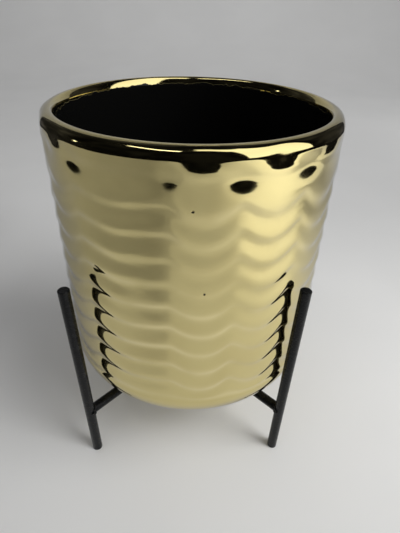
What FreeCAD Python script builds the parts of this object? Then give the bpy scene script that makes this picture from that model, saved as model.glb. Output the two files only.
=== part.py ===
"""Glazed planter pot standing in a welded stand of round bar.

The origin is on the pot's axis at the level of the floor, with +Z up and the viewer on the -Y side.
Lengths are in millimetres and angles in degrees.
"""
import FreeCAD, Part
import math
import os

import Sketcher

# Driving dimensions

POT_SIZES = {
    "lip_radius": 75.0,
    "wall_radius": 76.8,
    "pot_height": 166.4,
    "wall_thickness": 8.0,
    "floor_thickness": 10.0,
    "lip_round": 5.2,
    "mouth_round": 2.5,
    "corner_round": 18.0,
    "inside_corner_round": 26.0,
    "foot_radius": 40.0,
    "underside_rise": 23.0,
}
STAND_SIZES = {
    "bar_radius": 3.0,
    "upright_height": 134.0,
    "cage_gap": 3.85,
    "bar_height": 39.0,
    "saddle_depth": 1.0,
    "edge_break": 0.3,
}
SEAT_SIZES = {
    "seat_gap": 0.3,
    "pot_shift": 3.4,
}
RELIEF_SIZES = {
    "ring_base": 1.9,
    "plain_band": 7.5,
    "relief_depth": 0.55,
    "relief_inset": 0.08,
    "cutter_reach": 1.0,
    "swag_drop": 8.0,
}

# The rings of scallops, and the bearing in degrees at which the first scallop starts, from the
# middle of the front towards the viewer's right
RING_COUNT = 10
FIRST_BEARING = -42.0

# Each scallop round the pot: its part of the turn in degrees, the height of its left end and the
# depth of its sag, both as shares of swag_drop, and how many straight lengths its edge is made of
SWAG_SHARES = (
    (34.0, 0.15, 0.15, 6),
    (21.0, 0.15, 1.00, 4),
    (25.0, 0.25, 1.00, 4),
    (24.0, 0.20, 1.10, 4),
    (23.0, 0.10, 0.90, 4),
    (25.0, 0.25, 1.00, 4),
    (22.0, 0.15, 1.00, 4),
    (32.0, -0.05, 0.15, 6),
    (22.0, 0.15, 1.00, 4),
    (24.0, 0.25, 1.05, 4),
    (22.0, 0.10, 0.95, 4),
    (22.0, 0.20, 1.00, 4),
    (22.0, 0.15, 0.90, 4),
    (22.0, 0.10, 0.95, 4),
    (20.0, 0.00, 0.65, 4),
)

# A ring in section, from one joint up to the next: shares of the pitch, and of the relief's depth
RING_SHARES = (
    (0.00, 1.00),
    (0.37, 0.00),
    (0.68, 0.40),
)

# How far the lowest and the highest joint follow the scallops, as a share of the others
END_SHARE = 0.15

# The uprights stand on the corners of a square: name, side along X and side along Y
CORNERS = (
    ("upright_front_left", -1, -1),
    ("upright_front_right", 1, -1),
    ("upright_rear_left", -1, 1),
    ("upright_rear_right", 1, 1),
)
DIAGONAL = 45.0
QUARTER_TURN = 90.0
HALF_TURN = 180.0
FULL_TURN = 360.0
START, END, CENTRE = 1, 2, 3
ORIGIN_POINT = (-1, 1)
HORIZONTAL_AXIS = -1
VERTICAL_AXIS = -2


class Sizes:
    """The driving dimensions: a sheet for the document and the same values for starting shapes."""

    def __init__(self, document, *groups):
        self.values = {}
        sheet = document.addObject("Spreadsheet::Sheet", "sizes")
        for group in groups:
            for alias, value in group.items():
                row = len(self.values) + 1
                sheet.set(f"A{row}", alias)
                sheet.set(f"B{row}", str(value))
                sheet.setAlias(f"B{row}", alias)
                self.values[alias] = value
        document.recompute()

    def __getitem__(self, alias):
        return self.values[alias]


class Outline:
    """A sketch on one of a body's origin planes, built up from lines and arcs."""

    def __init__(self, body, name, plane_role):
        plane = next(item for item in body.Origin.OriginFeatures if item.Role == plane_role)
        self.sketch = body.newObject("Sketcher::SketchObject", name)
        self.sketch.AttachmentSupport = [(plane, "")]
        self.sketch.MapMode = "FlatFace"

    def line(self, start, end):
        """Add a straight edge between two (x, y) points and return its number."""
        first = FreeCAD.Vector(start[0], start[1], 0)
        last = FreeCAD.Vector(end[0], end[1], 0)
        return self.sketch.addGeometry(Part.LineSegment(first, last), False)

    def arc(self, centre, radius, start_angle, end_angle):
        """Add a counter-clockwise arc, with its angles in degrees, and return its number."""
        middle = FreeCAD.Vector(centre[0], centre[1], 0)
        circle = Part.Circle(middle, FreeCAD.Vector(0, 0, 1), radius)
        ends = (math.radians(start_angle), math.radians(end_angle))
        return self.sketch.addGeometry(Part.ArcOfCircle(circle, *ends), False)

    def circle(self, centre, radius):
        """Add a full circle and return its number."""
        middle = FreeCAD.Vector(centre[0], centre[1], 0)
        circle = Part.Circle(middle, FreeCAD.Vector(0, 0, 1), radius)
        return self.sketch.addGeometry(circle, False)

    def rule(self, kind, *where):
        """Add a constraint that holds no size."""
        return self.sketch.addConstraint(Sketcher.Constraint(kind, *where))

    def size(self, name, kind, where, value, expression):
        """Add a constraint whose size follows an expression in the sheet's values."""
        index = self.sketch.addConstraint(Sketcher.Constraint(kind, *where, value))
        self.sketch.renameConstraint(index, name)
        self.sketch.setExpression(f"Constraints.{name}", expression)


def new_body(document, name):
    """Return an empty body with the sub-part's name."""
    body = document.addObject("PartDesign::Body", name)
    body.Label = name
    return body


def place(body, x="0", y="0", z="0", turn=0.0):
    """Tie the position of a body or a shape to expressions, after turning it about Z."""
    body.Placement = FreeCAD.Placement(
        FreeCAD.Vector(0, 0, 0), FreeCAD.Rotation(FreeCAD.Vector(0, 0, 1), turn)
    )
    body.setExpression(".Placement.Base.x", x)
    body.setExpression(".Placement.Base.y", y)
    body.setExpression(".Placement.Base.z", z)


def underside_end(sizes):
    """Return the (x, z) point at which the rising underside meets the round corner."""
    slope = math.radians(sizes["underside_rise"])
    x = sizes["wall_radius"] - sizes["corner_round"] * (1 - math.sin(slope))
    return x, (x - sizes["foot_radius"]) * math.tan(slope)


def wall_ends(sizes):
    """Return the heights, above the pot's foot, between which its wall is straight."""
    slope = math.radians(sizes["underside_rise"])
    low = underside_end(sizes)[1] + sizes["corner_round"] * math.cos(slope)
    return low, sizes["pot_height"] - sizes["lip_round"]


def pot_outline(body, sizes):
    """Draw half of the pot's section: underside, wall, rounded lip, inside wall and floor.

    The wall leans in a little towards the lip. The underside rises from a flat foot to a round
    corner, and the inside keeps the wall's lean at the wall's thickness.
    """
    outline = Outline(body, "pot_section", "XZ_Plane")
    rise = sizes["underside_rise"]
    slope = math.radians(rise)
    foot = (sizes["foot_radius"], 0)
    corner_x = sizes["wall_radius"] - sizes["corner_round"]
    heel = underside_end(sizes)
    corner_z, lip_z = wall_ends(sizes)
    top = sizes["pot_height"]
    lip_x = sizes["lip_radius"] - sizes["lip_round"]
    mouth_radius = sizes["lip_radius"] - sizes["wall_thickness"]
    mouth_x = mouth_radius + sizes["mouth_round"]
    mouth_z = top - sizes["mouth_round"]
    inside_radius = sizes["wall_radius"] - sizes["wall_thickness"]
    inside_x = inside_radius - sizes["inside_corner_round"]
    inside_z = sizes["floor_thickness"] + sizes["inside_corner_round"]
    floor = sizes["floor_thickness"]

    base = outline.line((0, 0), foot)
    underside = outline.line(foot, heel)
    corner = outline.arc((corner_x, corner_z), sizes["corner_round"], rise - QUARTER_TURN, 0)
    wall = outline.line((sizes["wall_radius"], corner_z), (sizes["lip_radius"], lip_z))
    lip = outline.arc((lip_x, lip_z), sizes["lip_round"], 0, QUARTER_TURN)
    crown = outline.line((lip_x, top), (mouth_x, top))
    mouth = outline.arc((mouth_x, mouth_z), sizes["mouth_round"], QUARTER_TURN, HALF_TURN)
    inside = outline.line((mouth_radius, mouth_z), (inside_radius, inside_z))
    inside_corner = outline.arc(
        (inside_x, inside_z), sizes["inside_corner_round"], -QUARTER_TURN, 0
    )
    inside_floor = outline.line((inside_x, floor), (0, floor))
    axis = outline.line((0, floor), (0, 0))

    outline.rule("Coincident", base, START, *ORIGIN_POINT)
    outline.rule("Coincident", base, END, underside, START)
    outline.rule("Tangent", underside, END, corner, START)
    outline.rule("Tangent", corner, END, wall, START)
    outline.rule("Tangent", wall, END, lip, START)
    outline.rule("Tangent", lip, END, crown, START)
    outline.rule("Tangent", crown, END, mouth, START)
    outline.rule("Tangent", mouth, END, inside, START)
    outline.rule("Tangent", inside, END, inside_corner, END)
    outline.rule("Tangent", inside_corner, START, inside_floor, START)
    outline.rule("Coincident", inside_floor, END, axis, START)
    outline.rule("Coincident", axis, END, base, START)
    for level in (base, crown, inside_floor):
        outline.rule("Horizontal", level)
    outline.rule("Vertical", axis)
    outline.rule("Parallel", wall, inside)

    outline.size("foot", "DistanceX", (*ORIGIN_POINT, base, END), foot[0], "sizes.foot_radius")
    outline.size("rise", "Angle", (HORIZONTAL_AXIS, underside), slope, "sizes.underside_rise * 1 deg")
    outline.size("corner", "Radius", (corner,), sizes["corner_round"], "sizes.corner_round")
    outline.size(
        "wall_foot", "DistanceX", (*ORIGIN_POINT, wall, START), sizes["wall_radius"], "sizes.wall_radius"
    )
    outline.size(
        "wall_top", "DistanceX", (*ORIGIN_POINT, wall, END), sizes["lip_radius"], "sizes.lip_radius"
    )
    outline.size("lip", "Radius", (lip,), sizes["lip_round"], "sizes.lip_round")
    outline.size("height", "DistanceY", (*ORIGIN_POINT, crown, START), top, "sizes.pot_height")
    outline.size("mouth", "Radius", (mouth,), sizes["mouth_round"], "sizes.mouth_round")
    outline.size(
        "mouth_edge", "DistanceX", (*ORIGIN_POINT, inside, START), mouth_radius,
        "sizes.lip_radius - sizes.wall_thickness",
    )
    outline.size(
        "inside_corner", "Radius", (inside_corner,), sizes["inside_corner_round"],
        "sizes.inside_corner_round",
    )
    outline.size("floor", "DistanceY", (*ORIGIN_POINT, axis, START), floor, "sizes.floor_thickness")
    return outline.sketch


def scallop_ring(sizes, height, stand_off, swing):
    """Return a closed ring of straight lengths that rises and dips with the scallops.

    height is the ring's level above the pot's foot, stand_off is how far outside the turned wall it
    lies, and swing is how much of the scallops' rise and sag it follows.
    """
    low, high = wall_ends(sizes)
    lean = (sizes["wall_radius"] - sizes["lip_radius"]) / (high - low)
    total = sum(row[0] for row in SWAG_SHARES)
    points = []
    start = 0.0
    for index, (turn, left, sag, lengths) in enumerate(SWAG_SHARES):
        right = SWAG_SHARES[(index + 1) % len(SWAG_SHARES)][1]
        for step in range(lengths):
            part = step / lengths
            bearing = math.radians(FIRST_BEARING + (start + part * turn) * FULL_TURN / total)
            rise = left + (right - left) * part - 4 * sag * part * (1 - part)
            z = height + swing * rise * sizes["swag_drop"]
            radius = sizes["wall_radius"] - lean * (z - low) + stand_off
            points.append(FreeCAD.Vector(radius * math.sin(bearing), -radius * math.cos(bearing), z))
        start += turn
    ahead = points[1:] + points[:1]
    return Part.Wire([Part.LineSegment(a, b).toShape() for a, b in zip(points, ahead)])


def scallop_rings(sizes):
    """Return the rings that the cutter is skinned over, from the plain wall below to the one above.

    Between two joints the wall swells quickly to a crest, and then falls back slowly. So each
    scallop's lower edge stands proud, and its top is tucked in under the next one's edge.
    """
    low, high = wall_ends(sizes)
    first = low + sizes["ring_base"]
    pitch = (high - sizes["plain_band"] - first) / RING_COUNT
    depth = sizes["relief_depth"] - sizes["relief_inset"]
    swings = [END_SHARE] + [1.0] * (RING_COUNT - 1) + [END_SHARE]
    rings = [scallop_ring(sizes, low, sizes["cutter_reach"], 0.0)]
    for index in range(RING_COUNT):
        for height_share, depth_share in RING_SHARES:
            swing = swings[index] + (swings[index + 1] - swings[index]) * height_share
            height = first + (index + height_share) * pitch
            stand_off = -sizes["relief_inset"] - depth_share * depth
            rings.append(scallop_ring(sizes, height, stand_off, swing))
    last = first + RING_COUNT * pitch
    rings.append(scallop_ring(sizes, last, -sizes["relief_depth"], END_SHARE))
    crest = last + RING_SHARES[1][0] * pitch
    rings.append(scallop_ring(sizes, crest, -sizes["relief_inset"], 0.0))
    rings.append(scallop_ring(sizes, high, sizes["cutter_reach"], 0.0))
    return rings


def build_scallop_cutter(document, sizes):
    """Build what the scallops are cut with: a sleeve round the wall, shaped on its inside.

    The sleeve is skinned over rings of straight lengths, and its outside is one more skin from its
    highest ring to its lowest.
    """
    rings = scallop_rings(sizes)
    skins = [Part.makeLoft([a, b], False, True) for a, b in zip(rings, rings[1:] + rings[:1])]
    sleeve = Part.Solid(Part.Shell([face for skin in skins for face in skin.Faces]))
    if sleeve.Volume < 0:
        sleeve.reverse()
    cutter = document.addObject("Part::Feature", "scallop_cutter")
    cutter.Label = "scallop_cutter"
    cutter.Shape = sleeve
    return cutter


def build_pot(document, sizes):
    """Build the pot: one round casting, open at the top, with its wall cut into scallops."""
    body = new_body(document, "pot_blank")
    revolution = body.newObject("PartDesign::Revolution", "pot_turned")
    section = pot_outline(body, sizes)
    revolution.Profile = section
    revolution.ReferenceAxis = (section, ["V_Axis"])
    revolution.Angle = FULL_TURN
    section.Visibility = False
    cutter = build_scallop_cutter(document, sizes)
    for item in (body, cutter):
        place(item, z="sizes.bar_height + sizes.bar_radius + sizes.seat_gap")
    pot = document.addObject("Part::Cut", "pot")
    pot.Label = "pot"
    pot.Base = body
    pot.Tool = cutter
    pot.Refine = False
    return pot


# How far the uprights' axes lie from the stand's centre, and how far a bar's end stops short of one
HALF_DIAGONAL = "(max(sizes.lip_radius; sizes.wall_radius) + sizes.bar_radius + sizes.cage_gap)"
END_INSET = "(sizes.bar_radius - sizes.saddle_depth)"


def bar_section(body, sizes, plane_role):
    """Draw the round section of the bar that the whole stand is cut from."""
    outline = Outline(body, f"{body.Name}_section", plane_role)
    circle = outline.circle((0, 0), sizes["bar_radius"])
    outline.rule("Coincident", circle, CENTRE, *ORIGIN_POINT)
    outline.size("radius", "Radius", (circle,), sizes["bar_radius"], "sizes.bar_radius")
    return outline.sketch


def build_upright(document, sizes, name, side_x, side_y):
    """Build one upright: a length of round bar, cut square, with its edges broken."""
    body = new_body(document, name)
    rod = body.newObject("PartDesign::Pad", f"{name}_rod")
    rod.Profile = bar_section(body, sizes, "XY_Plane")
    rod.setExpression("Length", "sizes.upright_height")
    document.recompute()
    ends = [
        f"Face{number}"
        for number, face in enumerate(rod.Shape.Faces, start=1)
        if isinstance(face.Surface, Part.Plane)
    ]
    edges = body.newObject("PartDesign::Chamfer", f"{name}_edges")
    edges.Base = (rod, ends)
    edges.setExpression("Size", "sizes.edge_break")
    place(
        body,
        x=f"{side_x} * {HALF_DIAGONAL} / sqrt(2) - sizes.pot_shift",
        y=f"{side_y} * {HALF_DIAGONAL} / sqrt(2)",
    )
    return body


def cut_saddle(body, sizes, name, plane_role, distance):
    """Hollow a bar's end to the round of the bar that it is welded to.

    plane_role is the plane square to that other bar, and distance is the expression for how far
    along X its axis lies.
    """
    outline = Outline(body, name, plane_role)
    circle = outline.circle((0, 0), sizes["bar_radius"])
    outline.rule("PointOnObject", circle, CENTRE, HORIZONTAL_AXIS)
    outline.size("radius", "Radius", (circle,), sizes["bar_radius"], "sizes.bar_radius")
    outline.size("reach", "DistanceX", (*ORIGIN_POINT, circle, CENTRE), 0, distance)
    saddle = body.newObject("PartDesign::Pocket", f"{name}_cut")
    saddle.Profile = outline.sketch
    saddle.Type = "ThroughAll"
    saddle.Midplane = True


def place_bar(body, turn):
    """Lay a bar through the stand's centre, at the height that carries the pot."""
    place(body, x="-sizes.pot_shift", z="sizes.bar_height", turn=turn)


def build_long_bar(document, sizes):
    """Build the cross bar that runs whole from the rear left upright to the front right one."""
    body = new_body(document, "bar_long")
    rod = body.newObject("PartDesign::Pad", "bar_long_rod")
    rod.Profile = bar_section(body, sizes, "YZ_Plane")
    rod.Midplane = True
    rod.setExpression("Length", f"2 * ({HALF_DIAGONAL} - {END_INSET})")
    cut_saddle(body, sizes, "bar_long_near_saddle", "XY_Plane", HALF_DIAGONAL)
    cut_saddle(body, sizes, "bar_long_far_saddle", "XY_Plane", f"-{HALF_DIAGONAL}")
    place_bar(body, -DIAGONAL)
    return body


def build_half_bar(document, sizes, name, turn):
    """Build a half bar that runs from the long bar's middle out to an upright."""
    body = new_body(document, name)
    rod = body.newObject("PartDesign::Pad", f"{name}_rod")
    section = bar_section(body, sizes, "YZ_Plane")
    section.setExpression(".AttachmentOffset.Base.z", END_INSET)
    rod.Profile = section
    rod.setExpression("Length", f"{HALF_DIAGONAL} - 2 * {END_INSET}")
    cut_saddle(body, sizes, f"{name}_outer_saddle", "XY_Plane", HALF_DIAGONAL)
    cut_saddle(body, sizes, f"{name}_inner_saddle", "XZ_Plane", "0 mm")
    place_bar(body, turn)
    return body


def check(document, parts):
    """Stop with a plain message if any object of the document or any sub-part failed."""
    for item in document.Objects:
        if {"Invalid", "Error"} & set(item.State):
            raise RuntimeError(f"{item.Label} could not be built: {item.State}")
    for part in parts:
        if part.Shape.isNull() or not part.Shape.isValid() or len(part.Shape.Solids) != 1:
            raise RuntimeError(f"{part.Label} has no sound shape")


def main():
    """Build every sub-part, check it and write it to its own file."""
    document = FreeCAD.newDocument("planter_with_stand")
    sizes = Sizes(document, POT_SIZES, STAND_SIZES, SEAT_SIZES, RELIEF_SIZES)
    parts = []
    for name, side_x, side_y in CORNERS:
        parts.append(build_upright(document, sizes, name, side_x, side_y))
    parts.append(build_long_bar(document, sizes))
    parts.append(build_half_bar(document, sizes, "bar_half_right", DIAGONAL))
    parts.append(build_half_bar(document, sizes, "bar_half_left", DIAGONAL + HALF_TURN))
    parts.append(build_pot(document, sizes))
    document.recompute()
    check(document, parts)
    os.makedirs("parts", exist_ok=True)
    for part in parts:
        part.Shape.exportStep(f"parts/{part.Label}.step")
        box = part.Shape.BoundBox
        print(f"{part.Label}: {part.Shape.Volume:.1f} mm3, z {box.ZMin:.2f} to {box.ZMax:.2f}")


main()
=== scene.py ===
"""Dresses the glazed planter pot and its welded round-bar stand, and photographs them on a pale sweep.

Lengths are in metres and angles in degrees. The pot's axis is the Z axis and the floor is at Z = 0.
"""

import logging
import math
from dataclasses import dataclass
from enum import Enum

import bpy
import numpy as np
from mathutils import Matrix, Vector


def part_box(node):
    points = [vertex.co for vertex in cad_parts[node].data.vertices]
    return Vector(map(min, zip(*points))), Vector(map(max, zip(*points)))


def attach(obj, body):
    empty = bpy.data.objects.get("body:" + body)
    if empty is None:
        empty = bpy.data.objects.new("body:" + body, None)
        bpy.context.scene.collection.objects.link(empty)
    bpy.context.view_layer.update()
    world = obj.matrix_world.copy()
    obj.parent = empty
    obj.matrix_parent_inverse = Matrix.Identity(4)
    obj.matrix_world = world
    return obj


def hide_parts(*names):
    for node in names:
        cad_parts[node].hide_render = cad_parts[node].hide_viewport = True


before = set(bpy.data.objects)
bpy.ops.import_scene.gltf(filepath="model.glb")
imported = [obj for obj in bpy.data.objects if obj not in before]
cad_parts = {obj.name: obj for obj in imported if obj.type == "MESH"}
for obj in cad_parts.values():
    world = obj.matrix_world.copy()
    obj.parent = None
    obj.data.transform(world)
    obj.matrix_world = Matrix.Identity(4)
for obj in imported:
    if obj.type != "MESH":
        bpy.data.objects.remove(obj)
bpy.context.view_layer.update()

log = logging.getLogger("planter")
MM = 0.001
TURN = 2.0 * math.pi
QUARTER = 90.0
DIAGONAL = 45.0

Colour = tuple[float, float, float, float]
Place = tuple[float, float, float]
Flat = tuple[float, float]


class Body(Enum):
    """The two things that move apart: the welded stand and the pot lowered into it."""

    STAND = "stand"
    PLANTER = "planter"


class Slot(Enum):
    """The record's two finishes."""

    GOLD = "gold_glaze"
    BLACK = "black_paint"


@dataclass(frozen=True)
class Step:
    """A smooth step between two values, and the results at both, which are held past them."""

    low: float
    high: float
    start: float = 0.0
    end: float = 1.0


@dataclass(frozen=True)
class Grain:
    """A noise: its grains for each metre, its finer octaves, their strength and the step after it."""

    scale: float
    detail: float = 2.0
    rough: float = 0.5
    step: Step | None = None


class Graph:
    """A material's node tree, built by adding nodes and joining them."""

    def __init__(self, name: str) -> None:
        """Start an empty material.

        Args:
            name: The material's name.
        """
        self.material = bpy.data.materials.new(name)
        self.material.use_nodes = True
        self.tree = self.material.node_tree
        self.tree.nodes.clear()

    def add(self, kind: str, settings: dict | None = None, **inputs: object) -> bpy.types.Node:
        """Add a node, set its options and fill or join its inputs.

        Args:
            kind: The node's type name without the ShaderNode prefix.
            settings: Options such as operation or data_type.
            inputs: Socket name, or the letter n and a socket number, to a value or another socket.

        Returns:
            The new node.
        """
        node = self.tree.nodes.new(f"ShaderNode{kind}")
        for option, choice in (settings or {}).items():
            setattr(node, option, choice)
        for key, value in inputs.items():
            socket = node.inputs[int(key[1:])] if key[1:].isdigit() else node.inputs[key.replace("_", " ")]
            if isinstance(value, bpy.types.NodeSocket):
                self.tree.links.new(value, socket)
            else:
                socket.default_value = value
        return node

    def place(self) -> bpy.types.NodeSocket:
        """Return the socket of the object coordinates."""
        return self.add("TexCoord").outputs["Object"]

    def mark(self, name: str) -> bpy.types.NodeSocket:
        """Return the socket of one of the mesh's own attributes."""
        return self.add("Attribute", {"attribute_name": name}).outputs["Fac"]

    def math(self, operation: str, first: object, second: object) -> bpy.types.NodeSocket:
        """Return the result of an operation, such as MULTIPLY, on two numbers or sockets."""
        return self.add("Math", {"operation": operation}, n0=first, n1=second).outputs[0]

    def ramp(self, value: object, step: Step) -> bpy.types.NodeSocket:
        """Return a number or socket carried over a smooth step."""
        ends = {"n1": step.low, "n2": step.high, "n3": step.start, "n4": step.end}
        return self.add("MapRange", {"interpolation_type": "SMOOTHSTEP"}, n0=value, **ends).outputs[0]

    def mix(self, share: object, first: object, second: object) -> bpy.types.NodeSocket:
        """Return two colours mixed, where the share is how much of the second one shows."""
        return self.add("Mix", {"data_type": "RGBA"}, n0=share, n6=first, n7=second).outputs[2]

    def noise(self, place: object, grain: Grain) -> bpy.types.NodeSocket:
        """Add a noise on a place.

        Args:
            place: The socket of the coordinates.
            grain: The noise's scale, detail and roughness, and the step it is carried over, if any.

        Returns:
            The socket of the result.
        """
        factor = self.add(
            "TexNoise", Vector=place, Scale=grain.scale, Detail=grain.detail, Roughness=grain.rough
        ).outputs["Fac"]
        return self.ramp(factor, grain.step) if grain.step else factor

    def finish(self, shader: bpy.types.Node) -> bpy.types.Material:
        """Join the surface's shader to the output and return the finished material."""
        self.add("OutputMaterial", Surface=shader.outputs[0])
        return self.material


@dataclass(frozen=True)
class Pit:
    """A pinhole in the glaze, placed by its bearing round the pot and its height above the floor."""

    bearing: float
    height: float
    radius: float

    def place(self, wall_radius: float) -> Place:
        """Return the pit's centre on a wall of the given radius."""
        turn = math.radians(self.bearing)
        return wall_radius * math.sin(turn), -wall_radius * math.cos(turn), self.height


@dataclass(frozen=True)
class GoldGlaze:
    """Mirror-bright pale gold over the outside and the lip, black glaze inside, and pinholes.

    The gold ends a little way in past the mouth's edge, shifted by the noise times the rag, and the
    blur is half the width over which it ends.
    """

    gold: Colour = (0.72, 0.615, 0.285, 1.0)
    worn_gold: Colour = (0.63, 0.52, 0.225, 1.0)
    # painted highlight: a paler gold along the scallops' edges, standing in for the brighter floor that their
    # steep parts reflect
    edge_highlight_gold: Colour = (0.92, 0.80, 0.43, 1.0)
    pit_gold: Colour = (0.03, 0.024, 0.012, 1.0)
    black: Colour = (0.004, 0.004, 0.0038, 1.0)
    reach_inside: float = 5.0 * MM
    rag: float = 6.0 * MM
    rag_grain: Grain = Grain(130.0, 3.0, 0.6)
    blur: float = 0.12 * MM
    worn: Grain = Grain(38.0, step=Step(0.45, 0.72, 0.0, 0.35))
    # patches where the painted highlight shows along the scallops' edges
    highlight_patches: Grain = Grain(34.0, step=Step(0.36, 0.66, 0.08, 0.62))
    dull: Grain = Grain(95.0, 3.0, 0.6, Step(0.3, 0.75, 0.055, 0.105))
    swell: Grain = Grain(62.0, 1.0, 0.4)
    swell_share: float = 0.30
    peel: Grain = Grain(420.0)
    peel_share: float = 0.018
    pit_share: float = 0.5
    pit_floor: float = 0.35
    bump: float = 0.55
    bump_height: float = 1.0 * MM
    specular: float = 0.1
    specular_tint: Colour = (0.70, 0.72, 0.82, 1.0)
    coat: float = 0.3
    coat_roughness: float = 0.03
    pits: tuple[Pit, ...] = (
        Pit(-0.7, 184.7 * MM, 1.0 * MM),
        Pit(3.5, 144.6 * MM, 0.8 * MM),
        Pit(-31.0, 170.7 * MM, 0.75 * MM),
        Pit(-34.8, 190.5 * MM, 0.75 * MM),
        Pit(-23.5, 190.6 * MM, 0.55 * MM),
        Pit(2.2, 193.8 * MM, 0.5 * MM),
        Pit(3.6, 192.7 * MM, 0.45 * MM),
        Pit(4.6, 196.6 * MM, 0.45 * MM),
    )

    def material(self, wall_radius: float) -> bpy.types.Material:
        """Build the glaze.

        Args:
            wall_radius: The radius on which the pits lie.

        Returns:
            The material, which reads the pot's inward attribute for where the gold ends, and its
            edge attribute for where a painted highlight, a paler gold, lies over the scallops' edges.
        """
        graph = Graph("gold_and_black_glaze")
        place = graph.place()
        past = graph.math("SUBTRACT", graph.mark("inward"), self.reach_inside)
        swing = graph.math("SUBTRACT", graph.noise(place, self.rag_grain), 0.5)
        past = graph.math("ADD", past, graph.math("MULTIPLY", swing, self.rag))
        inside = graph.ramp(past, Step(-self.blur, self.blur))
        pitted = self.pit_mask(graph, place, wall_radius)

        colour = graph.mix(graph.noise(place, self.worn), self.gold, self.worn_gold)
        # painted highlight: paler gold over the scallops' edges, in patches
        highlight_patches = graph.math("MULTIPLY", graph.mark("edge"), graph.noise(place, self.highlight_patches))
        colour = graph.mix(highlight_patches, colour, self.edge_highlight_gold)
        colour = graph.mix(pitted, colour, self.pit_gold)
        colour = graph.mix(inside, colour, self.black)

        swell = graph.math("MULTIPLY", graph.noise(place, self.swell), self.swell_share)
        peel = graph.math("MULTIPLY", graph.noise(place, self.peel), self.peel_share)
        sunk = graph.math("MULTIPLY", pitted, self.pit_share)
        relief = graph.math("SUBTRACT", graph.math("ADD", swell, peel), sunk)
        bump = graph.add("Bump", Strength=self.bump, Distance=self.bump_height, Height=relief)
        return graph.finish(graph.add(
            "BsdfPrincipled",
            Base_Color=colour,
            Metallic=graph.math("SUBTRACT", 1.0, inside),
            Roughness=graph.noise(place, self.dull),
            Normal=bump.outputs[0],
            Specular_IOR_Level=self.specular,
            Specular_Tint=self.specular_tint,
            Coat_Weight=self.coat,
            Coat_Roughness=self.coat_roughness,
        ))

    def pit_mask(self, graph: Graph, place: object, wall_radius: float) -> object:
        """Mark the pinholes.

        Args:
            graph: The material that the mask belongs to.
            place: The object coordinates.
            wall_radius: The radius on which the pits lie.

        Returns:
            A socket that is 1 in a pit and 0 away from it.
        """
        mask: object = 0.0
        for pit in self.pits:
            away = graph.add("VectorMath", {"operation": "DISTANCE"}, n0=place, n1=pit.place(wall_radius))
            near = Step(self.pit_floor * pit.radius, pit.radius, 1.0, 0.0)
            mask = graph.math("MAXIMUM", mask, graph.ramp(away.outputs["Value"], near))
        return mask


@dataclass(frozen=True)
class BlackPaint:
    """Satin black powder coat on the round bar, with a fine orange peel and paler rubbed patches."""

    colour: Colour = (0.006, 0.0063, 0.0068, 1.0)
    rubbed: Colour = (0.028, 0.029, 0.029, 1.0)
    wear: Grain = Grain(240.0, 4.0, 0.65, Step(0.5, 0.8, 0.0, 0.45))
    satin: Grain = Grain(900.0, step=Step(0.3, 0.7, 0.17, 0.31))
    peel: Grain = Grain(1500.0)
    bump: float = 0.16
    bump_height: float = 0.2 * MM
    specular: float = 0.18

    def material(self) -> bpy.types.Material:
        """Build the paint.

        Returns:
            The material.
        """
        graph = Graph("black_powder_coat")
        place = graph.place()
        peel = graph.noise(place, self.peel)
        bump = graph.add("Bump", Strength=self.bump, Distance=self.bump_height, Height=peel)
        return graph.finish(graph.add(
            "BsdfPrincipled",
            Base_Color=graph.mix(graph.noise(place, self.wear), self.colour, self.rubbed),
            Roughness=graph.noise(place, self.satin),
            Normal=bump.outputs[0],
            Specular_IOR_Level=self.specular,
        ))


@dataclass(frozen=True)
class PaleBoard:
    """The plain pale sweep that the object stands on."""

    colour: Colour = (0.80, 0.80, 0.79, 1.0)
    shade: Colour = (0.0, 0.0, 0.0, 1.0)
    tone: Grain = Grain(6.0, step=Step(0.3, 0.7, 0.97, 1.0))
    roughness: float = 0.6
    specular: float = 0.25

    def material(self) -> bpy.types.Material:
        """Build the board's finish.

        Returns:
            The material.
        """
        graph = Graph("pale_board")
        tone = graph.noise(graph.place(), self.tone)
        return graph.finish(graph.add(
            "BsdfPrincipled",
            Base_Color=graph.mix(tone, self.shade, self.colour),
            Roughness=self.roughness,
            Specular_IOR_Level=self.specular,
        ))


def surface(name: str, points: np.ndarray, wrapped: bool = False, closed: bool = False) -> bpy.types.Object:
    """Make a mesh from a grid of points: an open sheet, or a tube where each row is a ring.

    Face i, j joins points (i, j), (i, j + 1), (i + 1, j + 1) and (i + 1, j), and j + 1 wraps to 0 in
    a ring. Where the tube is closed, a fan joins its first ring to the mean of its points, and its
    last ring to its own.

    Args:
        name: The object's name.
        points: An array of rows by columns by 3, in metres.
        wrapped: Whether each row is a ring.
        closed: Whether the first and last rings get a fan.

    Returns:
        The new object, smooth shaded, at the origin.
    """
    rows, columns = points.shape[:2]
    index = np.arange(rows * columns).reshape(rows, columns)
    if wrapped:
        index = np.concatenate([index, index[:, :1]], axis=1)
    here, beside = index[:, :-1], index[:, 1:]
    quads = np.stack([here[:-1], beside[:-1], beside[1:], here[1:]], axis=-1)
    faces = quads.reshape(-1, 4).tolist()
    vertices = points.reshape(-1, 3)
    if closed:
        low = np.full(columns, len(vertices))
        vertices = np.concatenate([vertices, points[[0, -1]].mean(axis=1)])
        faces += np.stack([low, beside[0], here[0]], axis=-1).tolist()
        faces += np.stack([low + 1, here[-1], beside[-1]], axis=-1).tolist()
    mesh = bpy.data.meshes.new(name)
    mesh.from_pydata(vertices, [], faces)
    mesh.shade_smooth()
    made = bpy.data.objects.new(name, mesh)
    bpy.context.scene.collection.objects.link(made)
    return made


def arc(centre: Flat, radius: float, start: float, end: float, count: int) -> np.ndarray:
    """Return an arc's points but its first: the centre plus the radius times (cosine, sine) of the angle."""
    turn = np.radians(np.linspace(start, end, count + 1)[1:])
    return np.stack([centre[0] + radius * np.cos(turn), centre[1] + radius * np.sin(turn)], axis=-1)


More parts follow.
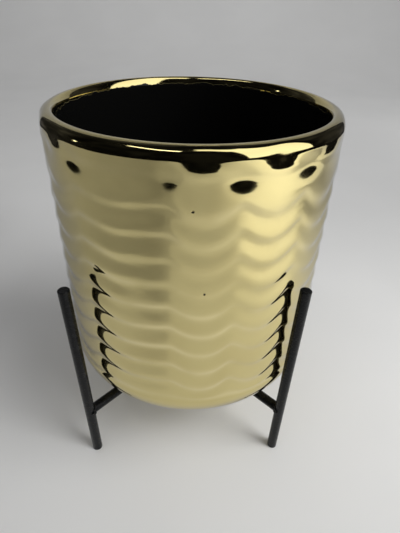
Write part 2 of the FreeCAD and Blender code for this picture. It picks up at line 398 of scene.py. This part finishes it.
def straight(start: Flat, end: Flat, count: int) -> np.ndarray:
    """Return a straight stretch's points but its first: its two ends mixed by an even share of the way."""
    share = np.linspace(0.0, 1.0, count + 1)[1:, None]
    return np.asarray(start) * (1.0 - share) + np.asarray(end) * share


def smooth(share: np.ndarray) -> np.ndarray:
    """Return the smooth step of shares from 0 to 1: three times the square less twice the cube."""
    return share * share * (3.0 - 2.0 * share)


@dataclass(frozen=True)
class HandWaves:
    """Gentle waves, as hands or a mould leave them: their length is up the wall, their turn rounded."""

    seed: int
    waves: int
    length: float
    fewest: int = 4
    most: int = 24
    slant: float = 1.6
    turn: float = 6.28

    def at(self, bearing: np.ndarray, height: np.ndarray) -> np.ndarray:
        """Work out the waves.

        They are a sum of cosines of m times the bearing plus the height over a wavelength plus a
        phase, with whole numbers m, so that it closes round the pot, over the root of half their
        number.

        Args:
            bearing: Each column's bearing, in radians.
            height: The height of each point, as rows by columns.

        Returns:
            Numbers of about unit spread, as rows by columns.
        """
        pick = np.random.default_rng(self.seed)
        total = np.zeros_like(height)
        for turns, slant, phase in zip(
            pick.integers(self.fewest, self.most, self.waves),
            pick.uniform(-self.slant, self.slant, self.waves),
            pick.uniform(0.0, self.turn, self.waves),
        ):
            total += np.cos(turns * bearing + self.turn * slant * height / self.length + phase)
        return total / math.sqrt(self.waves / 2.0)


@dataclass(frozen=True)
class Unevenness:
    """How the waves of hand work press the wall in, and the plain band under the lip more."""

    wall: float = 0.035 * MM
    band: float = 0.06 * MM
    band_start: float = 0.9
    band_gain: float = 14.0
    low_gain: float = 8.0
    top_gain: float = 40.0
    base: float = 1.5
    most: float = 4.0
    waves: HandWaves = HandWaves(seed=11, waves=26, length=24.0 * MM)

    def depth(self, bearings: np.ndarray, height: np.ndarray, share: np.ndarray) -> np.ndarray:
        """Work out how far the wall is pressed in.

        It is the waves, raised by the base and cut off under 0, times the wall's own depth, to which
        the band's is added from its start upwards. It fades to nothing at the wall's two ends.

        Args:
            bearings: Each column's bearing, in radians.
            height: Each point's height, as rows by columns.
            share: How far up the wall each point lies, from 0 to 1.

        Returns:
            The depths in metres, as rows by columns.
        """
        ends = np.sin(np.pi * np.clip(share * self.low_gain, 0.0, 0.5))
        ends = ends * np.clip((1.0 - share) * self.top_gain, 0.0, 1.0)
        deep = self.wall + self.band * np.clip((share - self.band_start) * self.band_gain, 0.0, 1.0)
        return deep * ends * np.clip(self.waves.at(bearings, height) + self.base, 0.0, self.most)


@dataclass(frozen=True)
class Scallop:
    """One scallop of a ring: its turn, and its left end's height and its sag as shares of the drop.

    The press is how deep the hollows at its left end and over its sag are, as a share of the usual.
    """

    turn: float
    left: float
    sag: float
    press: float = 1.0


@dataclass(frozen=True)
class Scallops:
    """Ten rings of shallow scallops round the wall, each with a proud lower edge and a tucked top.

    Reaches and widths up the wall are in rings. The relief starts at the foot's share of its depth
    and ends at the top's.
    """

    ring_base: float = 1.9 * MM
    plain_band: float = 7.5 * MM
    rings: int = 10
    depth: float = 0.55 * MM
    drop: float = 8.0 * MM
    steepness: float = 0.36
    first_bearing: float = -42.0
    end_share: float = 0.15
    rows: int = 13
    spare_rows: int = 7
    columns: int = 420
    overrun: float = 0.24
    crowding: float = 0.35
    sway: float = 0.35 * MM
    sway_waves: HandWaves = HandWaves(seed=3, waves=9, length=9.0)
    softening: int = 6
    edge_width: float = 0.12
    foot_reach: float = 0.6
    foot_share: float = 0.3
    top_reach: float = 1.3
    top_share: float = 0.5
    top_edge_share: float = 0.3
    row: tuple[Scallop, ...] = (
        Scallop(34.0, 0.15, 0.38),
        Scallop(22.5, 0.15, 1.00),
        Scallop(23.5, 0.25, 1.00, press=1.4),
        Scallop(24.0, 0.20, 1.10),
        Scallop(23.0, 0.10, 0.90),
        Scallop(25.0, 0.25, 1.00),
        Scallop(22.0, 0.15, 1.00),
        Scallop(32.0, -0.05, 0.15),
        Scallop(22.0, 0.15, 1.00),
        Scallop(24.0, 0.25, 1.05),
        Scallop(22.0, 0.10, 0.95),
        Scallop(22.0, 0.20, 1.00),
        Scallop(22.0, 0.15, 0.90),
        Scallop(22.0, 0.10, 0.95),
        Scallop(20.0, 0.00, 0.65, press=2.0),
    )

    def each(self, name: str) -> np.ndarray:
        """Return one of the scallops' numbers, for all of them in their order round the wall."""
        return np.array([getattr(scallop, name) for scallop in self.row])

    def starts(self) -> np.ndarray:
        """Return the bearing of each scallop's left end."""
        turns = self.each("turn")
        return self.first_bearing + (np.cumsum(turns) - turns)

    def round_the_wall(self) -> tuple[np.ndarray, np.ndarray]:
        """Work out each column's bearing and how far the rings rise or dip there.

        Within a scallop, with t from 0 to 1, the rise is the line between its ends less four times
        the sag times t times (1 - t), which is a parabola. The corners between two scallops are then
        softened: in each pass a column takes half its own rise and a quarter of each neighbour's.

        Returns:
            The bearings in radians and the rises in metres, one for each column.
        """
        turns, left, sag = self.each("turn"), self.each("left"), self.each("sag")
        count = np.round(turns / turns.sum() * self.columns).astype(int)
        which = np.repeat(np.arange(len(turns)), count)
        part = (np.arange(count.sum()) - (np.cumsum(count) - count)[which]) / count[which]
        bearing = self.starts()[which] + part * turns[which]
        ends = left[which] + (np.roll(left, -1) - left)[which] * part
        rise = ends - 4.0 * sag[which] * part * (1.0 - part)
        for _ in range(self.softening):
            rise = 0.5 * rise + 0.25 * (np.roll(rise, 1) + np.roll(rise, -1))
        return np.radians(bearing), rise * self.drop

    def ranks(self) -> np.ndarray:
        """Return each row's rank: an even step, less the crowding times its turn's sine over a turn."""
        even = np.linspace(-self.overrun, self.rings + self.overrun, self.rings * self.rows + self.spare_rows)
        return even - self.crowding * np.sin(TURN * even) / TURN

    def lift(self, rank: np.ndarray) -> np.ndarray:
        """Return how proud the wall stands, from 0 in a joint to 1 on a scallop's edge.

        It is a rounded sawtooth: the angle whose tangent is k sin a over (1 - k cos a), where a is a
        turn for each ring and k the steepness, brought to run from 0 to 1. Its steep rise lies at
        whole ranks.

        Args:
            rank: The height in rings above the lowest edge.

        Returns:
            The share of the relief's depth.
        """
        angle = TURN * rank
        wave = np.arctan2(self.steepness * np.sin(angle), 1.0 - self.steepness * np.cos(angle))
        return 0.5 + 0.5 * wave / math.asin(self.steepness)

    def crest(self) -> float:
        """Return how far above an edge's middle its crest lies, in rings: where cos a is k."""
        return math.acos(self.steepness) / TURN

    def waning(self, rank: np.ndarray, least: float) -> np.ndarray:
        """Return a share at each rank that falls evenly from 1 to the least one at the relief's top."""
        return 1.0 - (1.0 - least) * np.clip(rank - self.rings + self.top_reach, 0.0, 1.0)

    def sunk(self, rank: np.ndarray) -> np.ndarray:
        """Return how far in each rank lies: the depth, less at both ends, times what the lift lacks of 1."""
        full = 1.0 - (1.0 - self.foot_share) * np.clip(1.0 - (rank - rank[0]) / self.foot_reach, 0.0, 1.0)
        return self.depth * (full * self.waning(rank, self.top_share) * (1.0 - self.lift(rank)))

    def edge(self, rank: np.ndarray) -> np.ndarray:
        """Return each rank's share of an edge: a bell curve round whole ranks, less on the last one."""
        # these shares place the glaze's painted highlight along the edges
        bell = np.exp(-0.5 * ((rank - np.round(rank)) / self.edge_width) ** 2)
        return bell * self.waning(rank, self.top_edge_share)

    def swing(self, rank: np.ndarray) -> np.ndarray:
        """Return how much of the scallops' shape each rank follows: all of it, but little at both ends."""
        away = np.clip(np.minimum(rank + self.crest(), self.rings - rank - self.crest()), 0.0, 1.0)
        return self.end_share + (1.0 - self.end_share) * smooth(away)


@dataclass(frozen=True)
class Hollows:
    """The soft hollows that the scallops press into the plain band under the lip.

    One lies low in the band over each joint between two scallops, and one high in it over each sag.
    The drops from the band's top, the widths round the wall and the depths are the low one's and the
    high one's, and the last four values say how uneven they are.
    """

    drops: Flat = (5.2 * MM, -1.9 * MM)
    widths: Flat = (3.6, 4.6)
    depths: Flat = (0.42 * MM, 0.8 * MM)
    tall: float = 3.0 * MM
    seed: int = 8
    bearing_play: float = 1.5
    level_play: float = 0.6 * MM
    across_play: Flat = (0.8, 1.6)
    depth_play: Flat = (0.8, 1.2)

    def depth(self, bearings: np.ndarray, height: np.ndarray, top: float, form: Scallops) -> np.ndarray:
        """Work out how deep the hollows lie.

        Each is a bell curve: its depth times e to the minus half the squared distance, counted round
        the wall and up it in the hollow's own widths. Seeded numbers make them uneven.

        Args:
            bearings: Each column's bearing, in radians.
            height: Each point's height, as rows by columns.
            top: The height at which the lip starts.
            form: The scallops that the hollows follow.

        Returns:
            The depths in metres, as rows by columns.
        """
        pick = np.random.default_rng(self.seed)
        starts, each = form.starts(), len(form.row)
        bearing = np.concatenate([starts, starts + 0.5 * form.each("turn")])
        bearing = bearing + pick.uniform(-self.bearing_play, self.bearing_play, 2 * each)
        level = top - np.repeat(self.drops, each)
        level = level + pick.uniform(-self.level_play, self.level_play, 2 * each)
        across = np.radians(np.repeat(self.widths, each) * pick.uniform(*self.across_play, 2 * each))
        sag = np.concatenate([np.ones_like(starts), np.clip(form.each("sag"), 0.0, 1.0)])
        deep = np.repeat(self.depths, each) * sag * np.tile(form.each("press"), 2)
        deep = deep * pick.uniform(*self.depth_play, 2 * each)
        away = (bearings[None, :] - np.radians(bearing)[:, None] + np.pi) % TURN - np.pi
        round_share = np.exp(-0.5 * (away / across[:, None]) ** 2) * deep[:, None]
        total = np.zeros_like(height)
        for share, centre in zip(round_share, level):
            total += share * np.exp(-0.5 * ((height - centre) / self.tall) ** 2)
        return total


@dataclass
class Pot:
    """The glazed pot: one closed surface, turned about the Z axis, with scallops round its wall."""

    wall_thickness: float = 8.0 * MM
    floor_thickness: float = 10.0 * MM
    lip_radius: float = 75.0 * MM
    lip_round: float = 5.2 * MM
    mouth_round: float = 2.5 * MM
    mouth_drop: float = 2.2
    corner_round: float = 18.0 * MM
    inside_corner_round: float = 26.0 * MM
    foot_radius: float = 40.0 * MM
    underside_rise: float = 23.0
    pit_inset: float = 1.0 * MM
    foot_steps: int = 3
    underside_steps: int = 4
    corner_steps: int = 10
    skirt_rows: int = 3
    band_rows: int = 8
    lip_steps: int = 16
    rim_steps: int = 3
    mouth_steps: int = 12
    inside_steps: int = 9
    floor_steps: int = 4
    floor_end_share: float = 1.0 / 12.0
    scallops: Scallops = Scallops()
    hollows: Hollows = Hollows()
    unevenness: Unevenness = Unevenness()
    glaze: GoldGlaze = GoldGlaze()

    def __post_init__(self) -> None:
        """Take the pot's own height, radius and seat from the CAD node's box."""
        low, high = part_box("pot")
        self.seat = low[2]
        self.top = high[2] - low[2]
        self.wall_radius = min(high[0], high[1], -low[0], -low[1])
        rise = math.radians(self.underside_rise)
        self.corner_x = self.wall_radius - self.corner_round
        self.heel = self.corner_x + self.corner_round * math.sin(rise)
        self.heel_height = (self.heel - self.foot_radius) * math.tan(rise)
        self.corner_height = self.heel_height + self.corner_round * math.cos(rise)
        self.lip_start = self.top - self.lip_round

    def up_the_wall(self, height: np.ndarray) -> np.ndarray:
        """Return how far up the wall heights above the pot's base lie, as shares from 0 to 1."""
        return np.clip((height - self.corner_height) / (self.lip_start - self.corner_height), 0.0, 1.0)

    def wall(self, height: np.ndarray) -> np.ndarray:
        """Return the wall's radius at some heights: it leans in evenly from its foot to the lip."""
        return self.wall_radius + (self.lip_radius - self.wall_radius) * self.up_the_wall(height)

    def below(self) -> np.ndarray:
        """Work out the profile from the foot's middle to the wall.

        Returns:
            The (radius, height) points.
        """
        foot, heel = (self.foot_radius, 0.0), (self.heel, self.heel_height)
        corner = (self.corner_x, self.corner_height)
        return np.concatenate([
            straight((0.0, 0.0), foot, self.foot_steps),
            straight(foot, heel, self.underside_steps),
            arc(corner, self.corner_round, self.underside_rise - QUARTER, 0.0, self.corner_steps),
        ])

    def above(self) -> tuple[np.ndarray, int]:
        """Work out the profile from the lip over the mouth and down to the middle of the floor.

        The mouth turns in along a quarter ellipse, which is longer downwards by the mouth's drop.

        Returns:
            The (radius, height) points, and the number of the one where the mouth starts to turn in.
        """
        mouth = self.lip_radius - self.wall_thickness
        inner = self.wall_radius - self.wall_thickness
        inner_x = inner - self.inside_corner_round
        inner_z = self.floor_thickness + self.inside_corner_round
        crown = self.lip_radius - self.lip_round
        turn = mouth + self.mouth_round
        throat = (mouth, self.top - self.mouth_round * self.mouth_drop)
        lip = arc((crown, self.lip_start), self.lip_round, 0.0, QUARTER, self.lip_steps)
        rim = straight((crown, self.top), (turn, self.top), self.rim_steps)
        edge = arc((turn, 0.0), self.mouth_round, QUARTER, 2.0 * QUARTER, self.mouth_steps)
        edge[:, 1] = self.top + (edge[:, 1] - self.mouth_round) * self.mouth_drop
        middle = (inner_x * self.floor_end_share, self.floor_thickness)
        inside = np.concatenate([
            straight(throat, (inner, inner_z), self.inside_steps),
            arc((inner_x, inner_z), self.inside_corner_round, 0.0, -QUARTER, self.inside_steps),
            straight((inner_x, self.floor_thickness), middle, self.floor_steps),
        ])
        return np.concatenate([lip, rim, edge, inside]), len(lip) + len(rim) - 1

    def relief(self, bearings: np.ndarray, rises: np.ndarray) -> tuple[np.ndarray, np.ndarray, np.ndarray]:
        """Work out the wall between the corner and the lip.

        A row has a rank, counted in rings from the lowest edge. Its height is that edge's plus the
        rank times the pitch plus the scallops' rise there, and its radius is the wall's less how far
        the relief lies in. A skirt below joins the first row to the plain corner, and a plain band
        above joins the last crest to the lip. The unevenness lies over it all.

        Args:
            bearings: Each column's bearing, in radians.
            rises: How far the scallops raise the rings at each column.

        Returns:
            The radius and the height, as arrays of rows by columns, and each row's share of an edge.
        """
        form = self.scallops
        rank = form.ranks()
        joint = self.corner_height + form.ring_base
        pitch = (self.lip_start - form.plain_band - joint) / form.rings
        sway = form.sway * form.sway_waves.at(bearings, rank[:, None] + 0.0 * bearings)
        height = joint + pitch * (rank + form.crest())[:, None]
        height = height + form.swing(rank)[:, None] * (rises + sway)
        radius = self.wall(height) - form.sunk(rank)[:, None]

        share = np.linspace(0.0, 1.0, self.skirt_rows + 2)[1:-1, None]
        skirt_height = self.corner_height * (1.0 - share) + height[0] * share
        skirt_radius = self.wall(skirt_height) - (self.wall(height[0]) - radius[0]) * smooth(share)
        share = np.linspace(0.0, 1.0, self.band_rows + 1)[1:, None]
        band_height = height[-1] * (1.0 - share) + self.lip_start * share
        radius = np.concatenate([skirt_radius, radius, self.wall(band_height)])
        height = np.concatenate([skirt_height, height, band_height])
        radius = radius - self.unevenness.depth(bearings, height, self.up_the_wall(height))
        edge = np.concatenate([np.zeros(self.skirt_rows), form.edge(rank), np.zeros(self.band_rows)])
        return radius, height, edge

    def build(self) -> list[bpy.types.Object]:
        """Build the pot's surface, mark its inside and the scallops' edges, and glaze it.

        Returns:
            The pot alone, which stands for the CAD node and rides with it.
        """
        bearings, rises = self.scallops.round_the_wall()
        below = self.below()
        above, mouth_row = self.above()
        wall_radius, wall_height, wall_edge = self.relief(bearings, rises)
        whole = np.ones(len(bearings))
        radius = np.concatenate([below[:, :1] * whole, wall_radius, above[:, :1] * whole])
        height = np.concatenate([below[:, 1:] * whole, wall_height, above[:, 1:] * whole])
        lip = np.clip((height - self.lip_start) / self.lip_round, 0.0, 1.0)
        wall_end = len(below) + len(wall_height)
        outside = np.arange(len(height)) < wall_end + self.lip_steps
        hollow = self.hollows.depth(bearings, height, self.lip_start, self.scallops)
        radius = radius - hollow * np.sqrt(1.0 - lip * lip) * outside[:, None]
        points = np.stack(
            [radius * np.sin(bearings), -radius * np.cos(bearings), height + self.seat], axis=-1
        )
        pot = surface("pot_glazed", points, wrapped=True, closed=True)

        path = np.stack([radius.mean(axis=1), height.mean(axis=1)], axis=-1)
        length = np.concatenate([[0.0], np.linalg.norm(np.diff(path, axis=0), axis=1).cumsum()])
        inward = length - length[wall_end + mouth_row]
        edge = np.concatenate([np.zeros(len(below)), wall_edge, np.zeros(len(above))])
        # the edge attribute places the glaze's painted highlight
        for name, rows in (("inward", inward), ("edge", edge)):
            values = np.concatenate([np.repeat(rows, len(bearings)), rows[[0, -1]]])
            pot.data.attributes.new(name, "FLOAT", "POINT").data.foreach_set("value", values)
        pot.data.materials.append(self.glaze.material(self.wall_radius - self.pit_inset))
        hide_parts("pot")
        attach(pot, Body.PLANTER.value)
        return [pot]


@dataclass
class Stand:
    """The welded stand: the bars that the CAD model holds, painted, and a weld bead at each joint."""

    bead: float = 0.85 * MM
    ripple: float = 0.10
    ripples: int = 14
    ring_steps: int = 72
    tube_steps: int = 10
    thread_start: float = 0.6
    thread_reach: float = 0.5
    thread_share: float = 0.12
    paint: BlackPaint = BlackPaint()

    def __post_init__(self) -> None:
        """Take the bar's radius, the stand's centre and its joints from the CAD nodes' boxes."""
        left_low, left_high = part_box("upright_front_left")
        right_low, right_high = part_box("upright_rear_right")
        bar_low, bar_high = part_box("bar_long")
        self.bar_radius = (left_high[0] - left_low[0]) / 2.0
        self.centre = Vector(((left_low[0] + right_high[0]) / 2.0, 0.0, (bar_low[2] + bar_high[2]) / 2.0))
        side = (right_low[0] + right_high[0]) / 2.0 - self.centre.x
        self.reach = side * math.sqrt(2.0)

    def bead_ring(self, name: str, turn: float, distance: float, upright: bool) -> bpy.types.Object:
        """Build a weld bead: a rippled tube along the line where one bar's end meets another bar.

        The line goes round the bar's end. Its distance from the other bar's axis is the root of
        that bar's radius squared less the offset squared, and the tube's radius swells and falls
        with the ripples. Under the pot the tube is drawn down to a thread, so that the pot seats, and
        the thread's start and reach are sines of the way round.

        Args:
            name: The bead's name.
            turn: The bearing of the bar from the stand's centre, in degrees from +X.
            distance: How far the other bar's axis lies from the centre along the bar.
            upright: Whether the other bar is an upright, or else the long cross bar.

        Returns:
            The bead.
        """
        around = np.linspace(0.0, TURN, self.ring_steps, endpoint=False)
        section = np.linspace(0.0, TURN, self.tube_steps, endpoint=False)
        radius = self.bar_radius
        across, upwards = radius * np.cos(around), radius * np.sin(around)
        offset = across if upright else upwards
        drop = np.sqrt(np.maximum(radius**2 - offset**2, 0.0))
        along = distance - drop if upright else drop
        tube = self.bead * (1.0 + self.ripple * np.sin(self.ripples * around))
        if not upright:
            left = (self.thread_start - np.sin(around)) / self.thread_reach
            tube = tube * np.clip(left, self.thread_share, 1.0)
        line = np.stack([along, across, upwards], axis=-1)
        out = np.stack([np.zeros_like(around), np.cos(around), np.sin(around)], axis=-1)
        ahead = np.array([1.0, 0.0, 0.0])
        ring = line[None] + tube[None, :, None] * (
            np.cos(section)[:, None, None] * out[None] + np.sin(section)[:, None, None] * ahead
        )
        cosine, sine = math.cos(math.radians(turn)), math.sin(math.radians(turn))
        spin = np.array([[cosine, -sine, 0.0], [sine, cosine, 0.0], [0.0, 0.0, 1.0]])
        points = ring @ spin.T + np.array(self.centre)
        return surface(name, np.concatenate([points, points[:1]]), wrapped=True)

    def build(self) -> list[bpy.types.Object]:
        """Paint the bars and add the beads.

        Returns:
            The beads.
        """
        paint = self.paint.material()
        for name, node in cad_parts.items():
            if name.startswith(("upright_", "bar_")):
                node.data.materials.clear()
                node.data.materials.append(paint)
        beads = [
            self.bead_ring(f"bead_upright_{number + 1}", DIAGONAL + QUARTER * number, self.reach, True)
            for number in range(4)
        ]
        beads += [
            self.bead_ring("bead_centre_right", DIAGONAL, 0.0, False),
            self.bead_ring("bead_centre_left", DIAGONAL + 2.0 * QUARTER, 0.0, False),
        ]
        for bead in beads:
            bead.data.materials.append(paint)
            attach(bead, Body.STAND.value)
        return beads


@dataclass
class Sweep:
    """A pale board: flat under the object, and curving up into a backdrop behind it."""

    half_width: float = 6.0
    front: float = -6.0
    back: float = 1.2
    bend: float = 0.9
    height: float = 1.6
    flat_steps: int = 8
    bend_steps: int = 24
    backdrop_steps: int = 3
    board: PaleBoard = PaleBoard()

    def build(self) -> list[bpy.types.Object]:
        """Build the board as a profile of a line, a quarter arc and a line, carried along X.

        Returns:
            The board alone.
        """
        wall = self.back + self.bend
        profile = np.concatenate([
            [[self.front, 0.0]],
            straight((self.front, 0.0), (self.back, 0.0), self.flat_steps),
            arc((self.back, self.bend), self.bend, -QUARTER, 0.0, self.bend_steps),
            straight((wall, self.bend), (wall, self.height), self.backdrop_steps),
        ])
        sides = [np.insert(profile, 0, side, axis=1) for side in (-self.half_width, self.half_width)]
        sweep = surface("sweep", np.stack(sides, axis=1))
        sweep.data.materials.append(self.board.material())
        return [sweep]


def hide_from(made: bpy.types.Object, *rays: str) -> None:
    """Hide a piece from some kinds of rays.

    Args:
        made: The piece.
        rays: The kinds, such as camera or shadow.
    """
    for ray in rays:
        setattr(made, f"visible_{ray}", False)


@dataclass(frozen=True)
class DarkRoom:
    """The unlit room round the table: dark walls and a ceiling, open behind the object.

    Only the glaze shows it. The camera looks through it, and it takes no light off the object.
    """

    near: float = 0.88
    far: float = 1.7
    gap: float = 3.0 * MM
    height: float = 0.8
    ceiling: float = 1.5
    ceiling_radius: float = 1.1
    tip: float = 1.0 * MM
    spread: float = 140.0
    columns: int = 97
    floor_steps: int = 2
    wall_steps: int = 3
    ceiling_steps: int = 4
    tone: Colour = (0.004, 0.004, 0.0045, 1.0)
    patches: Grain = Grain(1.5, step=Step(0.35, 0.75, 0.4, 2.2))
    paling: Step = Step(0.1, 1.3, 1.0, 12.0)

    def build(self) -> list[bpy.types.Object]:
        """Build the walls and the ceiling of the room, patchy and paler behind the object.

        Returns:
            Both.
        """
        graph = Graph("unlit_room")
        place = graph.place()
        behind = graph.add("SeparateXYZ", n0=place).outputs["Y"]
        tone = graph.math("MULTIPLY", graph.noise(place, self.patches), graph.ramp(behind, self.paling))
        cloth = graph.finish(graph.add("Emission", Color=self.tone, Strength=tone))
        near, far = (self.near, self.gap), (self.far, self.gap)
        head, edge = (self.far, self.height), (self.ceiling_radius, self.ceiling)
        walls = np.concatenate([
            [near],
            straight(near, far, self.floor_steps),
            straight(far, head, self.wall_steps),
            straight(head, edge, self.wall_steps),
        ])
        ceiling = np.concatenate([[edge], straight(edge, (self.tip, self.ceiling), self.ceiling_steps)])
        curtains = [
            surface("room_walls", self.carried(walls, self.spread)),
            surface("room_ceiling", self.carried(ceiling, 2.0 * QUARTER)),
        ]
        for curtain in curtains:
            curtain.data.materials.append(cloth)
            hide_from(curtain, "camera", "diffuse", "shadow", "transmission")
        return curtains

    def carried(self, profile: np.ndarray, spread: float) -> np.ndarray:
        """Carry a profile round the Z axis, as far to the left of the front as to the right.

        Args:
            profile: The (radius, height) points.
            spread: How far it goes each way.

        Returns:
            The points, as rows by columns by 3.
        """
        bearing = np.radians(np.linspace(-spread, spread, self.columns))
        return np.stack([
            profile[:, :1] * np.sin(bearing),
            -profile[:, :1] * np.cos(bearing),
            np.broadcast_to(profile[:, 1:], (len(profile), len(bearing))),
        ], axis=-1)


@dataclass(frozen=True)
class WindowPane:
    """The bright window to the right of the table, as the glaze shows it.

    The soft light beside it lights the object, and the pane gives the window's shape in the glaze.
    """

    distance: float = 0.9
    top_distance: float = 0.40
    first: float = 8.0
    last: float = 86.0
    columns: int = 79
    sill_bearing: float = 34.0
    sill_width: float = 4.0
    top: float = 1.45
    low: float = 0.24
    rise: float = 0.80
    tone: Colour = (1.0, 1.0, 0.98, 1.0)
    haze: Grain = Grain(2.0, step=Step(0.3, 0.7, 1.426, 1.55))

    def build(self) -> bpy.types.Object:
        """Build the pane: a curved strip that leans over the table, with a raised sill at its left.

        The sill's height is the low one plus the rise times a smooth step, which falls from 1 to 0
        over the sill's width round its bearing.

        Returns:
            The pane.
        """
        degrees = np.linspace(self.first, self.last, self.columns)
        raised = (self.sill_bearing + self.sill_width / 2.0 - degrees) / self.sill_width
        sill = self.low + self.rise * smooth(np.clip(raised, 0.0, 1.0))
        level = np.stack([sill, np.full_like(sill, self.top)])
        lean = (level - self.low) / (self.top - self.low)
        away = self.distance + (self.top_distance - self.distance) * lean
        bearing = np.radians(degrees)
        points = np.stack([away * np.sin(bearing), -away * np.cos(bearing), level], axis=-1)
        pane = surface("window_pane", points)
        graph = Graph("daylight")
        haze = graph.noise(graph.place(), self.haze)
        pane.data.materials.append(graph.finish(graph.add("Emission", Color=self.tone, Strength=haze)))
        hide_from(pane, "camera", "diffuse", "shadow", "transmission")
        return pane


@dataclass(frozen=True)
class Net:
    """An upright net beside the object that takes a share of the window's light off the board.

    It only casts a shadow, and neither the camera nor the glaze shows it.
    """

    name: str
    start: Flat
    end: Flat
    levels: Flat
    share: float
    weave: Grain = Grain(20.0, step=Step(0.3, 0.7, 0.01, 0.02))

    def build(self) -> bpy.types.Object:
        """Build the net as an upright rectangle between two levels.

        Returns:
            The net.
        """
        foot = np.array([self.start, self.end])
        points = np.stack([np.column_stack([foot, [level] * 2]) for level in self.levels])
        net = surface(self.name, points)
        graph = Graph(self.name)
        thread = graph.add("BsdfDiffuse", Color=graph.noise(graph.place(), self.weave)).outputs[0]
        hole = graph.add("BsdfTransparent").outputs[0]
        net.data.materials.append(graph.finish(graph.add("MixShader", n0=self.share, n1=hole, n2=thread)))
        hide_from(net, "camera", "diffuse", "glossy", "transmission")
        return net


@dataclass(frozen=True)
class SoftBox:
    """A rectangular soft light that faces a point, and that the glaze shows or doesn't show."""

    name: str
    place: Place
    size: Flat
    power: float
    aim: Place = (0.0, 0.0, 0.1)
    shown: bool = True
    spread: float = 180.0

    def build(self) -> None:
        """Build the light."""
        lamp = bpy.data.lights.new(self.name, "AREA")
        lamp.spread = math.radians(self.spread)
        lamp.shape = "RECTANGLE"
        lamp.size, lamp.size_y = self.size
        lamp.energy = self.power
        made = bpy.data.objects.new(self.name, lamp)
        made.visible_glossy = self.shown
        made.location = self.place
        made.rotation_euler = (Vector(self.aim) - Vector(self.place)).to_track_quat("-Z", "Y").to_euler()
        bpy.context.scene.collection.objects.link(made)


@dataclass(frozen=True)
class Studio:
    """The lamps, the nets that shade the board, the window's pane and the evenly lit room above."""

    room: Colour = (0.255, 0.255, 0.26, 1.0)
    nets: tuple[Net, ...] = (
        Net("net_front", (0.33, -1.00), (0.33, -0.20), (0.12, 0.42), 0.42),
        Net("net_front_far", (0.30, -0.90), (0.30, -0.43), (0.14, 0.40), 0.38),
        Net("net_middle", (-0.129, -0.867), (-0.002, -0.291), (0.09, 0.21), 0.75),
        Net("net_middle_left", (-0.264, -0.846), (-0.062, -0.273), (0.06, 0.20), 0.90),
        Net("net_near", (-0.041, -0.282), (-0.018, -0.172), (0.05, 0.14), 0.40),
        Net("net_left_front", (-0.20, -1.00), (-0.20, -0.22), (0.05, 0.45), 0.38),
        Net("net_left", (-0.16, -0.56), (-0.16, 0.21), (0.10, 0.34), 0.60),
        Net("net_right", (0.64, -0.20), (0.64, 0.16), (0.05, 0.40), 1.0),
    )
    boxes: tuple[SoftBox, ...] = (
        SoftBox("window_right", (1.02, -0.48, 1.13), (1.0, 1.0), 15.6, shown=False),
        SoftBox("window_low", (0.95, -0.50, 0.42), (0.5, 0.4), 3.2, (0.45, -0.25, 0.0), shown=False),
        SoftBox(
            "window_pool", (0.60, -0.40, 0.80), (0.2, 0.2), 0.28, (0.36, -0.20, 0.0),
            shown=False, spread=60.0,
        ),
        SoftBox("ceiling_strip", (-0.36, -0.36, 1.30), (0.8, 0.09), 0.75),
        SoftBox("ceiling_lamp", (0.07, 0.80, 1.25), (0.16, 0.05), 0.03),
        SoftBox("lamp_left", (-1.10, -0.02, 0.45), (0.06, 0.06), 0.05),
        SoftBox("backdrop_light", (0.0, 1.1, 1.5), (1.2, 0.3), 2.6, (0.0, 2.2, 0.5)),
    )
    pane: WindowPane = WindowPane()

    def build(self) -> list[bpy.types.Object]:
        """Light the scene.

        Returns:
            The nets and the pane.
        """
        world = bpy.data.worlds.new("room")
        world.use_nodes = True
        world.node_tree.nodes["Background"].inputs["Color"].default_value = self.room
        bpy.context.scene.world = world
        for box in self.boxes:
            box.build()
        return [part.build() for part in (*self.nets, self.pane)]


@dataclass(frozen=True)
class PhotoCamera:
    """The camera, at the place and angle worked out from the photograph."""

    place: Place = (-3.4 * MM, -209.8 * MM, 252.8 * MM)
    turn: float = 2.45
    dip: float = 34.76
    roll: float = 1.65
    focal_pixels: float = 392.8
    picture_height_pixels: float = 533.0
    sensor: float = 36.0
    nearest: float = 0.01

    def build(self) -> None:
        """Build the camera from its forward, right and up directions, and make it the scene's."""
        turn, dip, roll = (math.radians(angle) for angle in (self.turn, self.dip, self.roll))
        forward = Vector((math.sin(turn) * math.cos(dip), math.cos(turn) * math.cos(dip), -math.sin(dip)))
        level = Vector((math.cos(turn), -math.sin(turn), 0.0))
        above = level.cross(forward)
        right = math.cos(roll) * level + math.sin(roll) * above
        up = math.cos(roll) * above - math.sin(roll) * level
        data = bpy.data.cameras.new("photo_camera")
        data.sensor_width = self.sensor
        data.lens = self.focal_pixels / self.picture_height_pixels * self.sensor
        data.clip_start = self.nearest
        camera = bpy.data.objects.new("photo_camera", data)
        turned = Matrix((right, up, -forward)).transposed().to_4x4()
        camera.matrix_world = Matrix.Translation(self.place) @ turned
        bpy.context.scene.collection.objects.link(camera)
        bpy.context.scene.camera = camera


def main() -> None:
    """Build the camera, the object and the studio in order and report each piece."""
    logging.basicConfig(level=logging.INFO, format="%(name)s: %(message)s")
    bpy.context.scene.view_settings.view_transform = "Standard"
    PhotoCamera().build()
    for kind in (Pot, Stand, Sweep, DarkRoom, Studio):
        for piece in kind().build():
            log.info("%s: %d faces", piece.name, len(piece.data.polygons))


if __name__ == "__main__":
    main()
